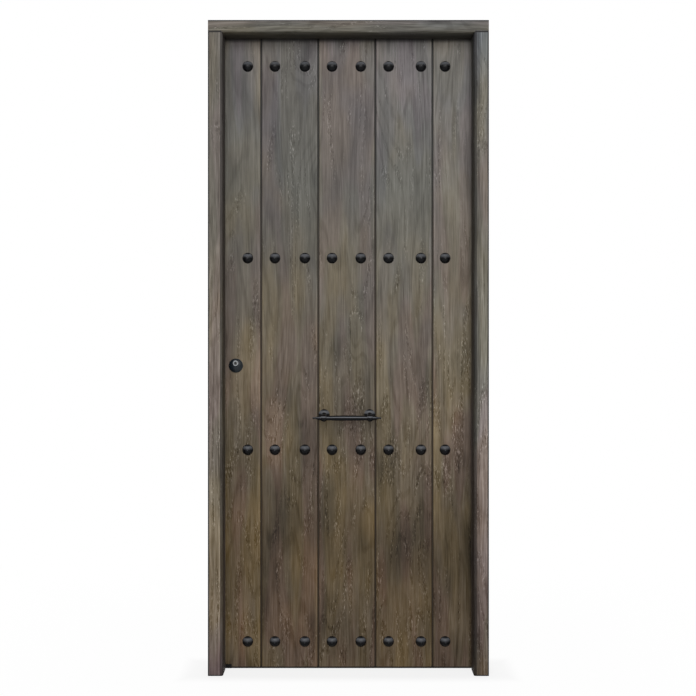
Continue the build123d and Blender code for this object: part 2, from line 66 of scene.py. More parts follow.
class Finish:
    """A material in the making: a surface shader, and short names for the nodes that feed it."""

    def __init__(self, name):
        self.material = bpy.data.materials.new(name)
        self.material.use_nodes = True
        self.tree = self.material.node_tree
        self.tree.nodes.clear()
        self.shader = self.tree.nodes.new("ShaderNodeBsdfPrincipled")
        self.output = self.tree.nodes.new("ShaderNodeOutputMaterial")
        self.feed(self.output.inputs["Surface"], self.shader.outputs["BSDF"])
        self.object_space = self.tree.nodes.new("ShaderNodeTexCoord").outputs["Object"]

    def feed(self, socket, value):
        """Links a node's output to a socket, or sets the socket to a plain value."""
        if isinstance(value, bpy.types.NodeSocket):
            self.tree.links.new(value, socket)
        elif socket.type == "RGBA" and len(value) == 3:
            socket.default_value = (*value, 1.0)
        else:
            socket.default_value = value

    def step(self, kind, operation, values):
        """The result of one step of arithmetic."""
        node = self.tree.nodes.new(kind)
        node.operation = operation
        for socket, value in zip(node.inputs, values):
            self.feed(socket, value)
        return node.outputs[0]

    def math(self, operation, *values):
        """Arithmetic on plain numbers."""
        return self.step("ShaderNodeMath", operation, values)

    def vector(self, operation, *values):
        """Arithmetic on vectors and colours."""
        return self.step("ShaderNodeVectorMath", operation, values)

    def axes(self, vector):
        """The three coordinates of a vector."""
        split = self.tree.nodes.new("ShaderNodeSeparateXYZ")
        self.feed(split.inputs[0], vector)
        return split.outputs

    def stretch(self, vector, scale, shift=(0.0, 0.0, 0.0)):
        """A vector, scaled and then shifted along each axis."""
        return self.vector("MULTIPLY_ADD", vector, scale, shift)

    def wander(self, vector, by, reach):
        """A vector pushed aside by a noise colour, reach along each axis."""
        push = self.stretch(by, [2.0 * r for r in reach], [-r for r in reach])
        return self.vector("ADD", vector, push)

    def noise(self, vector, scale, detail, roughness, shift=(0.0, 0.0, 0.0), output="Fac"):
        """Soft noise, with so many features to the metre along each axis."""
        cloud = self.tree.nodes.new("ShaderNodeTexNoise")
        self.feed(cloud.inputs["Vector"], self.stretch(vector, scale, shift))
        self.feed(cloud.inputs["Scale"], 1.0)
        self.feed(cloud.inputs["Detail"], detail)
        self.feed(cloud.inputs["Roughness"], roughness)
        return cloud.outputs[output]

    def cells(self, vector, scale, shift):
        """Distance to the nearest of scattered points, with so many to the metre along each axis."""
        scatter = self.tree.nodes.new("ShaderNodeTexVoronoi")
        self.feed(scatter.inputs["Vector"], self.stretch(vector, scale, shift))
        self.feed(scatter.inputs["Scale"], 1.0)
        return scatter.outputs["Distance"]

    def centred(self, value):
        """Noise about nought instead of a half."""
        return self.math("SUBTRACT", value, 0.5)

    def tally(self, *weighted):
        """The sum of values, each times its weight."""
        total = 0.0
        for value, weight in weighted:
            total = self.math("MULTIPLY_ADD", value, weight, total)
        return total

    def between(self, value, low, high, start=0.0, end=1.0):
        """A value eased from start at low to end at high."""
        ease = self.tree.nodes.new("ShaderNodeMapRange")
        ease.interpolation_type = "SMOOTHSTEP"
        names = ("Value", "From Min", "From Max", "To Min", "To Max")
        for name, given in zip(names, (value, low, high, start, end)):
            self.feed(ease.inputs[name], given)
        return ease.outputs[0]

    def blend(self, amount, under, over, mode="MIX"):
        """One colour over another."""
        mix = self.tree.nodes.new("ShaderNodeMix")
        mix.data_type = "RGBA"
        mix.blend_type = mode
        self.feed(mix.inputs["Factor"], amount)
        self.feed(mix.inputs[6], under)
        self.feed(mix.inputs[7], over)
        return mix.outputs[2]

    def tones(self, value, stops):
        """Colours along a value from 0 to 1."""
        ramp = self.tree.nodes.new("ShaderNodeValToRGB")
        band = ramp.color_ramp
        while len(band.elements) < len(stops):
            band.elements.new(0.5)
        for element, (place, colour) in zip(band.elements, stops):
            element.position = place
            element.color = (*colour, 1.0)
        self.feed(ramp.inputs["Fac"], value)
        return ramp.outputs["Color"]

    def shade(self, colour, factor):
        """A colour made lighter or darker by a plain factor."""
        return self.vector("MULTIPLY", colour, factor)

    def cast(self, colour, factors, amount):
        """A colour multiplied by a cast, any number of times over."""
        tint = self.stretch(amount, [factor - 1.0 for factor in factors], (1.0, 1.0, 1.0))
        return self.vector("MULTIPLY", colour, tint)

    def lift(self, colour, amount, darkest):
        """A colour raised or lowered by a share of its level, alike in all channels."""
        level = self.tree.nodes.new("ShaderNodeRGBToBW")
        self.feed(level.inputs[0], colour)
        change = self.math("MULTIPLY", level.outputs[0], amount)
        return self.vector("MAXIMUM", self.vector("ADD", colour, change), darkest)

    def bump(self, height, strength, distance):
        """Relief on the surface, from a height in shares of the distance."""
        relief = self.tree.nodes.new("ShaderNodeBump")
        self.feed(relief.inputs["Strength"], strength)
        self.feed(relief.inputs["Distance"], distance)
        self.feed(relief.inputs["Height"], height)
        self.feed(self.shader.inputs["Normal"], relief.outputs["Normal"])

    def surface(self, colour, roughness, metallic=0.0, specular=0.5):
        """Colour, roughness, metal and strength of gloss of the shader."""
        self.feed(self.shader.inputs["Base Color"], colour)
        self.feed(self.shader.inputs["Roughness"], roughness)
        self.shader.inputs["Metallic"].default_value = metallic
        self.shader.inputs["Specular IOR Level"].default_value = specular


# Marks in the timber: how many there are to the metre across the grain (twice) and along it, the
# detail and roughness of their noise, and how far they are shifted from the other marks
DRIFT = ((4.2, 4.2, 1.2), 2.0, 0.45)
SWIRL = ((6.5, 6.5, 0.9), 2.0, 0.45)
STREAKS = ((44.0, 44.0, 3.0), 3.0, 0.62)
MOTTLE = ((84.0, 84.0, 26.0), 2.0, 0.6, (3.9, 1.2, 8.8))
PATCHES = ((13.0, 13.0, 5.2), 3.0, 0.55, (2.7, 5.9, 4.1))
BROAD = ((5.5, 5.5, 2.5), 2.0, 0.5, (6.6, 4.4, 0.8))
HUES = ((16.0, 16.0, 2.2), 1.0, 0.4, (7.1, 3.3, 1.9))
LINES = ((150.0, 150.0, 4.5), 2.0, 0.55, (5.2, 0.4, 2.5))
FIBRES = ((340.0, 340.0, 9.0), 2.0, 0.55)
PORES = ((400.0, 400.0, 76.0), 2.0, 0.6, (1.1, 8.3, 6.2))
CLUSTERS = ((25.0, 25.0, 4.6), 2.0, 0.55, (9.4, 2.2, 3.6))
KNOTS = ((4.7, 4.7, 1.9), (0.4, 0.7, 0.2))
DRIFT_REACH = (0.026, 0.026, 0.0)  # how far the grain strays from straight
KNOT_REACH = 0.30  # of the way from one knot to the next
KNOT_PULL = 0.16
RINGS = 110.0
SEED_STEP = (1.37, 0.61, 2.93)  # from one piece of timber to the next

# How strongly the marks show, and the heights between which the timber turns from even to worn
STREAK_DEPTH = 0.8
KNOT_DEPTH = -0.45
LINE_DEPTH = 0.55
MOTTLE_DEPTH = 0.35
DARK_TICK_DEPTH = -0.70
PALE_TICK_DEPTH = 1.30
LATE_WOOD_DEPTH = -0.20
EVEN_ABOVE = 1.30
WORN_BELOW = 0.60

# Casts in the stain, and how dark it may get
OLIVE_CAST = (1.04, 1.02, 0.90)
MAUVE_CAST = (1.01, 0.93, 1.01)
SLATE_CAST = (0.94, 0.99, 1.06)
TAN_CAST = (1.05, 1.00, 0.90)
DARKEST_SHADE = 0.25
DARKEST_STAIN = (0.004, 0.004, 0.004)


def stained_timber(
    finish, seed, height_tones, grain_along="Z", contrast=1.0, fibrous=1.4, blotchy=1.1, pored=1.0
):
    """Grey-brown stain over open-grained timber: the colour, the roughness and the relief."""
    turned = finish.tree.nodes.new("ShaderNodeMapping")
    finish.feed(turned.inputs["Vector"], finish.object_space)
    if grain_along == "X":
        turned.inputs["Rotation"].default_value = (0.0, math.radians(90.0), 0.0)
    turned.inputs["Location"].default_value = [seed * step for step in SEED_STEP]
    drift = finish.noise(turned.outputs[0], *DRIFT, output="Color")
    lie = finish.wander(turned.outputs[0], drift, DRIFT_REACH)
    up = finish.axes(finish.object_space)[2]
    low_down = finish.between(up, EVEN_ABOVE, WORN_BELOW)

    # Growth rings, as contours that close round knots
    knots = finish.cells(lie, *KNOTS)
    swirl = finish.noise(lie, *SWIRL)
    pulled = finish.between(knots, KNOT_REACH, 0.0)
    swirl = finish.math("MULTIPLY_ADD", pulled, KNOT_PULL, swirl)
    rings = finish.math("SINE", finish.math("MULTIPLY", swirl, RINGS))
    late_wood = finish.between(rings, 0.1, 0.95)

    # Streaks, patches and fibres along the grain
    streaks = finish.noise(lie, *STREAKS)
    mottle = finish.noise(lie, *MOTTLE)
    patches = finish.noise(lie, *PATCHES)
    broad = finish.noise(lie, *BROAD)
    hues = finish.noise(lie, *HUES)
    lines = finish.noise(lie, *LINES)
    fibres = finish.noise(lie, *FIBRES)

    # Open pores in clusters, more of them low down: dark ticks along the grain, and paler ones
    pores = finish.noise(lie, *PORES)
    clusters = finish.math("MULTIPLY_ADD", low_down, 0.10, finish.noise(lie, *CLUSTERS))
    cluster = finish.between(clusters, 0.51, 0.66)
    cluster = finish.math("MULTIPLY", cluster, finish.between(rings, -0.5, 0.6, 0.15, 1.0))
    dark_ticks = finish.math("MULTIPLY", finish.between(pores, 0.44, 0.35), cluster)
    pale_ticks = finish.math("MULTIPLY", finish.between(pores, 0.57, 0.67), cluster)

    # How much lighter or darker the marks make the stain, each more so low down
    broader = finish.math("MULTIPLY_ADD", low_down, 1.1 * blotchy, 0.5 * blotchy)
    coarse = finish.tally(
        (finish.centred(streaks), STREAK_DEPTH),
        (finish.centred(patches), blotchy),
        (finish.centred(broad), broader),
        (finish.between(knots, 0.13, 0.02), KNOT_DEPTH),
    )
    fine = finish.tally(
        (finish.centred(fibres), fibrous),
        (finish.centred(lines), LINE_DEPTH * fibrous),
        (finish.centred(mottle), MOTTLE_DEPTH),
        (dark_ticks, DARK_TICK_DEPTH * pored),
        (pale_ticks, PALE_TICK_DEPTH * pored),
        (late_wood, LATE_WOOD_DEPTH),
    )
    depth = finish.math("MULTIPLY_ADD", low_down, 0.20 * contrast, 0.85 * contrast)
    half_fine = finish.math("MULTIPLY", fine, 0.5)
    shade = finish.math("MULTIPLY_ADD", finish.math("ADD", coarse, half_fine), depth, 1.0)
    shade = finish.math("MAXIMUM", shade, DARKEST_SHADE)

    # The stain at each height, with its casts and then the marks: half of the fine ones scale it,
    # and half are added
    stain = finish.tones(finish.math("DIVIDE", up, head_high.z), height_tones)
    vivid = finish.math("MULTIPLY_ADD", low_down, 0.5, 0.7)
    olive = finish.math("MULTIPLY", finish.between(hues, 0.51, 0.60), vivid)
    mauve = finish.math("MULTIPLY", finish.between(hues, 0.49, 0.40), vivid)
    stain = finish.cast(finish.cast(stain, OLIVE_CAST, olive), MAUVE_CAST, mauve)
    high_up = finish.between(low_down, 0.0, 1.0, 0.9, 0.0)
    slate = finish.math("MULTIPLY", finish.between(broad, 0.50, 0.40), high_up)
    tan = finish.between(broad, 0.50, 0.60, 0.0, 0.9)
    stain = finish.blend(slate, stain, SLATE_CAST, "MULTIPLY")
    stain = finish.blend(tan, stain, TAN_CAST, "MULTIPLY")
    added = finish.math("MULTIPLY", half_fine, depth)
    stain = finish.lift(finish.shade(stain, shade), added, DARKEST_STAIN)

    roughness = finish.between(fibres, 0.25, 0.75, 0.48, 0.64)
    relief = finish.tally((dark_ticks, -0.6), (fibres, 0.4))
    return stain, roughness, relief


SEAM_COLOUR = (0.007, 0.005, 0.0045)
SEAM_DROP = 0.0030  # the jambs' tops are a little worn
SEAT_SEAM = (0.0032, 0.0014)  # how far off a seam its dark starts, and is full
MITRE_SEAM = (0.0030, 0.0006)


def joint_line(finish):
    """How close a point is to the seam of head and jamb, along the seat and down the mitre."""
    across, _, up = finish.axes(finish.object_space)
    outward = finish.math("ABSOLUTE", finish.math("SUBTRACT", across, frame_middle))
    over = finish.math("SUBTRACT", up, seat - SEAM_DROP)
    aside = finish.math("SUBTRACT", outward, jamb_flat)
    on_seat = finish.between(finish.math("ABSOLUTE", over), *SEAT_SEAM)
    on_seat = finish.math("MULTIPLY", on_seat, finish.math("GREATER_THAN", aside, 0.0))
    off_mitre = finish.math("ABSOLUTE", finish.math("SUBTRACT", over, aside))
    on_mitre = finish.between(off_mitre, *MITRE_SEAM)
    on_mitre = finish.math("MULTIPLY", on_mitre, finish.math("LESS_THAN", over, 0.0))
    return finish.math("MAXIMUM", on_seat, on_mitre)


TIMBER_GLOSS = 0.25
TIMBER_GRAIN = 0.0006  # depth of the open grain
# Painted shade in the reveals of the jambs and the head: the stain darkened as if in shadow
REVEAL_SHADE = 0.28
JAMB_REVEAL = (-0.0046, -0.0026)  # inside of a jamb's flat face, where the painted shade in its reveal starts
JAMB_BACK = (0.020, 0.060)  # behind the frame's front, where the painted shade in the reveal lessens again
JAMB_BACK_SHADE = 0.55
HEAD_REVEAL = (0.006, 0.032)
HEAD_REVEAL_SHADE_START = 0.75
HEAD_FACE = (0.002, -0.002)  # below the seat, where the head's front face starts
# Painted light along a jamb's inner lip: a highlight on the lock jamb, shade on the hinge jamb
LIP_EASE = 0.0015
# Painted shade: a dark line along the frame's outer arrises and round the jambs' feet
ARRIS_SHADE = 0.03
ARRIS_WIDTH = (0.0054, 0.0032)
ARRIS_DEPTH = (0.009, 0.005)
FOOT_RIM = 0.0008


def frame_finish(name, seed, height_tones, grain_along, contrast, lip_light, lip_width):
    """The frame's stained timber, with dark seams, painted shade on the arrises and in the reveals,
    and painted light along the lip.
    """
    finish = Finish(name)
    stain, roughness, relief = stained_timber(
        finish, seed, height_tones, grain_along, contrast, fibrous=2.2, blotchy=0.45, pored=0.9
    )
    across, depth, up = finish.axes(finish.object_space)
    outward = finish.math("ABSOLUTE", finish.math("SUBTRACT", across, frame_middle))
    behind = finish.math("SUBTRACT", depth, head_low.y)
    if grain_along == "X":
        inside = finish.math("SUBTRACT", seat, up)
        rim = finish.math("SUBTRACT", head_high.z, up)
        reveal = finish.between(behind, *HEAD_REVEAL, HEAD_REVEAL_SHADE_START, REVEAL_SHADE)
        outside = finish.between(inside, *HEAD_FACE)
    else:
        inside = finish.math("SUBTRACT", jamb_flat, outward)
        rim = finish.math("SUBTRACT", half_width, outward)
        reveal = finish.between(inside, *JAMB_REVEAL, 1.0, REVEAL_SHADE)
        outside = finish.between(behind, *JAMB_BACK, 0.0, JAMB_BACK_SHADE)
    # Painted light on the lip: a highlight on the lock jamb, shade on the hinge jamb
    lip = finish.between(inside, -LIP_EASE - lip_width, -lip_width, 1.0, lip_light)
    stain = finish.shade(stain, lip)
    # Painted shade in the reveals
    stain = finish.shade(stain, finish.math("MAXIMUM", reveal, outside))
    # Painted shade along the outer arrises and the jambs' feet
    rim = finish.math("MINIMUM", rim, finish.math("ADD", up, FOOT_RIM))
    on_rim = finish.between(rim, *ARRIS_WIDTH)
    arris = finish.math("MULTIPLY", on_rim, finish.between(behind, *ARRIS_DEPTH))
    stain = finish.shade(stain, finish.between(arris, 0.0, 1.0, 1.0, ARRIS_SHADE))
    stain = finish.blend(joint_line(finish), stain, SEAM_COLOUR)
    finish.surface(stain, roughness, specular=TIMBER_GLOSS)
    finish.bump(relief, 0.35, TIMBER_GRAIN)
    return finish.material


def dress(node, material):
    """Gives a CAD node its finish."""
    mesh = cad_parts[node].data
    mesh.materials.clear()
    mesh.materials.append(material)


# Tones of the stain, by share of the frame's height
LOCK_JAMB_TONES = [
    (0.0, (0.135, 0.111, 0.100)),
    (0.4, (0.165, 0.142, 0.112)),
    (0.7, (0.123, 0.106, 0.0803)),
    (1.0, (0.119, 0.1015, 0.0825)),
]
HINGE_JAMB_TONES = [
    (0.0, (0.107, 0.0825, 0.0594)),
    (0.4, (0.201, 0.186, 0.159)),
    (0.7, (0.142, 0.122, 0.0931)),
    (1.0, (0.120, 0.126, 0.131)),
]
# The lip: a painted highlight on the lock jamb, painted shade on the hinge jamb
dress("lock_jamb", frame_finish("lock_jamb_stain", 1.0, LOCK_JAMB_TONES, "Z", 1.0, 1.22, 0.006))
dress("hinge_jamb", frame_finish("hinge_jamb_stain", 2.0, HINGE_JAMB_TONES, "Z", 1.0, 0.70, 0.014))

# Head of the frame: one rebated length of the same stained timber across both jambs, with the
# grain lying level. It is screwed down onto the jambs and up into the lintel.

HEAD_TONES = [(0.0, (0.101, 0.0953, 0.0825)), (1.0, (0.101, 0.0953, 0.0825))]
dress("head", frame_finish("head_stain", 3.0, HEAD_TONES, "X", 1.2, 1.0, 0.006))

# Weather seal: a soft black rubber strip, pressed into a groove at the back of the stop, up both
# jambs and across the head, for the leaf to close against.


def rubber(name, colour, dusty):
    """Matt moulded rubber, with a fine grit and dust in patches."""
    finish = Finish(name)
    grit = finish.noise(finish.object_space, (900.0, 900.0, 900.0), 2.0, 0.6)
    dust = finish.noise(finish.object_space, (22.0, 22.0, 3.0), 3.0, 0.6)
    tone = finish.blend(finish.between(dust, 0.45, 0.75, 0.0, 0.6), colour, dusty)
    finish.surface(tone, finish.between(grit, 0.3, 0.7, 0.70, 0.86), specular=0.25)
    finish.bump(grit, 0.3, 0.0002)
    return finish.material


dress("weather_seal", rubber("seal_rubber", (0.013, 0.013, 0.013), (0.035, 0.033, 0.030)))

# Strike plate: brushed steel, let flush into the rebate of the lock jamb, with holes for the latch
# and the dead bolt. The faceplate in the leaf's edge and the two bolts are of the same steel, and
# both plates are held by slotted screws.

STEEL_FILM = (0.24, 0.22, 0.19)


def brushed_steel(name, colour, along):
    """Bare steel with fine brush lines along one axis, and a faint film."""
    finish = Finish(name)
    lines = [1400.0, 1400.0, 1400.0]
    lines["XYZ".index(along)] = 12.0
    brush = finish.noise(finish.object_space, lines, 2.0, 0.6)
    film = finish.noise(finish.object_space, (40.0, 40.0, 25.0), 3.0, 0.55)
    tone = finish.blend(finish.between(brush, 0.3, 0.7), [c * 0.82 for c in colour], colour)
    tone = finish.blend(finish.between(film, 0.45, 0.75, 0.0, 0.35), tone, STEEL_FILM)
    finish.surface(tone, finish.between(film, 0.3, 0.7, 0.26, 0.42), metallic=1.0)
    finish.bump(brush, 0.15, 0.0002)
    return finish.material


lock_steel = brushed_steel("lock_steel", (0.56, 0.55, 0.53), "Z")
for node in ("strike_plate", "lock_faceplate", "lock_bolts"):
    dress(node, lock_steel)


def add_piece(name, shape, material, body):
    """Makes a finished mesh a piece of the scene that moves with a body."""
    mesh = bpy.data.meshes.new(name)
    shape.to_mesh(mesh)
    shape.free()
    mesh.materials.append(material)
    piece = bpy.data.objects.new(name, mesh)
    bpy.context.scene.collection.objects.link(piece)
    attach(piece, body)


SCREW_RADIUS = 0.0042
SCREW_TAPER = 0.94
SCREW_HEIGHT = 0.0008
SCREW_PROUD = 0.0003
SCREW_RIM = 0.0007
SCREW_SIDES = 28
SLOT_WIDTH = 0.0011
SLOT_DEPTH = 0.0004
FIRST_TURN = 35.0  # of the slots, as the screws were left
NEXT_TURN = 50.0


def slotted_head():
    """One countersunk screw head, lying on its back, with the slot along Y."""
    head = bmesh.new()
    bmesh.ops.create_cone(
        head, cap_ends=True, segments=SCREW_SIDES, radius1=SCREW_RADIUS,
        radius2=SCREW_RADIUS * SCREW_TAPER, depth=SCREW_HEIGHT
    )
    cap = [face for face in head.faces if face.normal.z > 0.9]
    bmesh.ops.inset_region(head, faces=cap, thickness=SCREW_RIM)
    cut = cap + list(cap[0].edges) + list(cap[0].verts)
    for edge in (-SLOT_WIDTH / 2, SLOT_WIDTH / 2):
        bmesh.ops.bisect_plane(
            head, geom=cut, plane_co=(edge, 0.0, 0.0), plane_no=(1.0, 0.0, 0.0)
        )
        cut = head.faces[:] + head.edges[:] + head.verts[:]
    slot_faces = [
        face for face in head.faces
        if face.normal.z > 0.9 and abs(face.calc_center_median().x) < SLOT_WIDTH / 2
        and face.calc_center_median().length < SCREW_RADIUS / 2
    ]
    sunk = bmesh.ops.extrude_face_region(head, geom=slot_faces)
    sunk_verts = [part for part in sunk["geom"] if isinstance(part, bmesh.types.BMVert)]
    bmesh.ops.translate(head, verts=sunk_verts, vec=(0.0, 0.0, -SLOT_DEPTH))
    bmesh.ops.recalc_face_normals(head, faces=head.faces)
    return head


def slotted_screws(places, facing):
    """Screw heads just proud of a face that looks along X, either way."""
    shape = bmesh.new()
    stand = Matrix.Rotation(math.radians(90.0 * facing), 3, "Y")
    for number, (x, y, z) in enumerate(places):
        head = slotted_head()
        turn = Matrix.Rotation(math.radians(FIRST_TURN + NEXT_TURN * number), 3, "Z")
        bmesh.ops.rotate(head, verts=head.verts, cent=(0.0, 0.0, 0.0), matrix=stand @ turn)
        seat_x = x + facing * (SCREW_PROUD - SCREW_HEIGHT / 2)
        bmesh.ops.translate(head, verts=head.verts, vec=(seat_x, y, z))
        spare = bpy.data.meshes.new("screw")
        head.to_mesh(spare)
        head.free()
        shape.from_mesh(spare)
        bpy.data.meshes.remove(spare)
    return shape


PLATE_SCREW_INSET = 0.012  # from the ends of the plates
strike_low, strike_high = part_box("strike_plate")
plate_low, plate_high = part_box("lock_faceplate")
plate_middle = (plate_low.y + plate_high.y) / 2
strike_places = [
    (strike_high.x, plate_middle, strike_low.z + PLATE_SCREW_INSET),
    (strike_high.x, plate_middle, strike_high.z - PLATE_SCREW_INSET),
]
plate_places = [
    (plate_low.x, plate_middle, plate_low.z + PLATE_SCREW_INSET),
    (plate_low.x, plate_middle, plate_high.z - PLATE_SCREW_INSET),
]
strike_screws = slotted_screws(strike_places, 1.0)
faceplate_screws = slotted_screws(plate_places, -1.0)
add_piece("strike_screws", strike_screws, lock_steel, "frame")
add_piece("faceplate_screws", faceplate_screws, lock_steel, "leaf")

# Butt hinges: black iron flaps let into the jamb and the leaf's edge, with rolled knuckles that
# interleave on a loose pin with rounded heads, and four screws in each flap. All the black ironwork
# is forged, then waxed.

IRON_DARK = (0.0020, 0.0021, 0.0026)
IRON_PALE = (0.0050, 0.0051, 0.0060)
IRON_DUST = (0.016, 0.014, 0.012)

# How much a face looks up where the painted highlight, a paler tone, starts, is full, fades and ends
STUD_HIGHLIGHT_BAND = (-0.05, 0.55, 0.60, 0.84)
GRIP_HIGHLIGHT_BAND = (0.02, 0.32, 0.42, 0.66)


def black_iron(
    name, hammer, seed, gloss=0.26, tint=(1.0, 1.0, 1.0), rough=(0.27, 0.37), painted_highlight=None,
    band=STUD_HIGHLIGHT_BAND
):
    """Forged black iron: hammer marks, a fine scale, brown dust, and a painted highlight where it
    looks up.
    """
    finish = Finish(name)
    lie = finish.stretch(
        finish.object_space, (1.0, 1.0, 1.0), (seed, seed * 0.7, seed * 1.9)
    )
    dents = finish.noise(lie, (hammer, hammer, hammer), 1.0, 0.4)
    scale = finish.noise(lie, (900.0, 900.0, 900.0), 2.0, 0.6)
    dust = finish.noise(lie, (60.0, 60.0, 60.0), 3.0, 0.6)
    tone = finish.blend(finish.between(scale, 0.3, 0.7), IRON_DARK, IRON_PALE)
    tone = finish.blend(1.0, tone, tint, "MULTIPLY")
    tone = finish.blend(finish.between(dust, 0.55, 0.85, 0.0, 0.30), tone, IRON_DUST)
    # A painted highlight: a paler tone on faces that look up
    if painted_highlight:
        normal = finish.tree.nodes.new("ShaderNodeNewGeometry").outputs["Normal"]
        rise = finish.axes(normal)[2]
        start, full, fade, end = band
        below_end = finish.between(rise, end, fade)
        highlight_mask = finish.math("MULTIPLY", finish.between(rise, start, full), below_end)
        tone = finish.blend(highlight_mask, tone, painted_highlight)
    finish.surface(tone, finish.between(dust, 0.3, 0.75, *rough), specular=gloss)
    finish.bump(finish.math("MULTIPLY_ADD", scale, 0.08, dents), 0.30, 0.0012)
    return finish.material


hinge_iron = black_iron("hinge_iron", 120.0, 1.3)
hinge_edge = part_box("hinge_stile")[1].x
HINGE_REBATE = -0.033  # x of the hinge jamb's rebate, where the frame flaps lie
FLAP_SCREWS = (  # depth, and height from the middle of the hinge
    (0.033, -0.036), (0.043, -0.018), (0.043, 0.018), (0.033, 0.036)
)
leaf_places, frame_places = [], []
for place in ("bottom", "middle", "top"):
    for part in ("frame_flap", "leaf_flap", "pin"):
        dress(f"{place}_hinge_{part}", hinge_iron)
    flap_low, flap_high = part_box(f"{place}_hinge_frame_flap")
    middle = (flap_low.z + flap_high.z) / 2
    leaf_places += [(hinge_edge, depth, middle + rise) for depth, rise in FLAP_SCREWS]
    frame_places += [(HINGE_REBATE, depth, middle + rise) for depth, rise in FLAP_SCREWS]
leaf_flap_screws = slotted_screws(leaf_places, 1.0)
frame_flap_screws = slotted_screws(frame_places, -1.0)
add_piece("leaf_flap_screws", leaf_flap_screws, hinge_iron, "leaf")
add_piece("frame_flap_screws", frame_flap_screws, hinge_iron, "frame")

# Core of the leaf: two stiles and two rails of the same timber, tenoned and glued, and a panel
# between them. Only their edges show, when the leaf is open.

EDGE_TONES = [
    (0.0, (0.104, 0.076, 0.046)),
    (0.48, (0.120, 0.100, 0.074)),
    (1.0, (0.098, 0.090, 0.083)),
]


def core_finish(name, seed, grain_along):
    """The leaf's stained timber, without joints."""
    finish = Finish(name)
    stain, roughness, relief = stained_timber(finish, seed, EDGE_TONES, grain_along)
    finish.surface(stain, roughness, specular=TIMBER_GLOSS)
    finish.bump(relief, 0.35, TIMBER_GRAIN)
    return finish.material


CORE_GRAIN = (
    ("lock_stile", "Z"), ("hinge_stile", "Z"), ("top_rail", "X"), ("bottom_rail", "X"),
    ("core_panel", "Z"),
)
for seed, (node, grain_along) in enumerate(CORE_GRAIN, start=4):
    dress(node, core_finish(f"{node}_stain", seed, grain_along))

# Outer boards: five upright boards of stained, open-grained timber, with eased edges and a square
# joint between them. They are glued to the core and clenched through with studs.

stop_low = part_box("lock_jamb")[1].x
stop_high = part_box("hinge_jamb")[0].x
stop_top = head_low.z
BOARD_TONES = [
    (0.0, (0.111, 0.0820, 0.0510)),
    (0.2, (0.0797, 0.0585, 0.0343)),
    (0.48, (0.126, 0.104, 0.0750)),
    (0.75, (0.105, 0.0992, 0.0880)),
    (1.0, (0.126, 0.113, 0.1025)),
]
# How pale each board is beside the others, and how pale its foot is
BOARD_PALENESS = ((1.0, 1.14), (0.91, 0.97), (0.96, 1.0), (1.10, 0.81), (1.18, 0.93))
FOOT_HEIGHTS = (0.58, 0.34)  # between which a board turns into its foot

# Where a board's tone changes, as painted light: how far from its edge or from the stop, and by how
# much
# In turn: a painted highlight along the eased edges, painted light by the lock jamb, painted shade
# by the hinge jamb and a painted shadow under the head
EDGE_PAINTED_HIGHLIGHT = (0.0095, 0.0055, 1.0, 1.22)
LOCK_JAMB_PAINTED_LIGHT = (0.0, 0.024, 1.22, 1.0)
HINGE_JAMB_PAINTED_SHADE = (0.0, 0.012, 0.66, 1.0)
HEAD_PAINTED_SHADOW = (0.0, 0.014, 0.22, 1.0)
DOWN_IN_JOINT = (0.0016, 0.0032, 0.0, 0.96)
JOINT_LOW = (0.026, 0.0170, 0.0090)  # the dark in the joints, low down and high up
JOINT_HIGH = (0.0085, 0.0078, 0.0068)


def board_finish(name, seed, low, high, face, inwards, pale=1.0, foot_pale=1.0):
    """A board's stain, dark down in the joints, with painted light: a highlight along its eased
    edges, light and shade by the jambs, a shadow under the head.
    """
    finish = Finish(name)
    stain, roughness, relief = stained_timber(finish, seed, BOARD_TONES)
    across, depth, up = finish.axes(finish.object_space)
    from_low = finish.math("SUBTRACT", across, low)
    from_high = finish.math("SUBTRACT", high, across)
    stain = finish.shade(stain, finish.between(up, *FOOT_HEIGHTS, pale, foot_pale))
    # Painted highlight, light, shade and shadow near the edges, the jambs and the head
    for distance, change in (
        (finish.math("MINIMUM", from_low, from_high), EDGE_PAINTED_HIGHLIGHT),
        (finish.math("SUBTRACT", across, stop_low), LOCK_JAMB_PAINTED_LIGHT),
        (finish.math("SUBTRACT", stop_high, across), HINGE_JAMB_PAINTED_SHADE),
        (finish.math("SUBTRACT", stop_top, up), HEAD_PAINTED_SHADOW),
    ):
        stain = finish.shade(stain, finish.between(distance, *change))
    sunk = finish.math("MULTIPLY", finish.math("SUBTRACT", depth, face), inwards)
    shadow = finish.blend(finish.between(up, 1.0, 1.8), JOINT_LOW, JOINT_HIGH)
    stain = finish.blend(finish.between(sunk, *DOWN_IN_JOINT), stain, shadow)
    finish.surface(stain, roughness, specular=TIMBER_GLOSS)
    finish.bump(relief, 0.40, TIMBER_GRAIN)
    return finish.material


BOARDS = 5
for number, paleness in enumerate(BOARD_PALENESS, start=1):
    board = f"outer_board_{number}"
    low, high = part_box(board)
    seed = 10.0 + number
    dress(board, board_finish(f"{board}_stain", seed, low.x, high.x, low.y, 1.0, *paleness))

# Bottom strip: dark rubber, glued under the outer boards along their whole length, flush with their
# faces, so that its lip just sweeps the floor. Its dark is painted shade along the leaf's foot.


def moulded_bar(low, high, round_off):
    """A bar between two corners, with all its edges rounded."""
    shape = bmesh.new()
    bmesh.ops.create_cube(shape, size=1.0)
    bmesh.ops.scale(shape, verts=shape.verts, vec=[b - a for a, b in zip(low, high)])
    bmesh.ops.translate(shape, verts=shape.verts, vec=[(a + b) / 2 for a, b in zip(low, high)])
    bmesh.ops.bevel(
        shape, geom=shape.edges[:], offset=round_off, affect="EDGES", segments=3, profile=0.5,
        material=-1
    )
    return shape


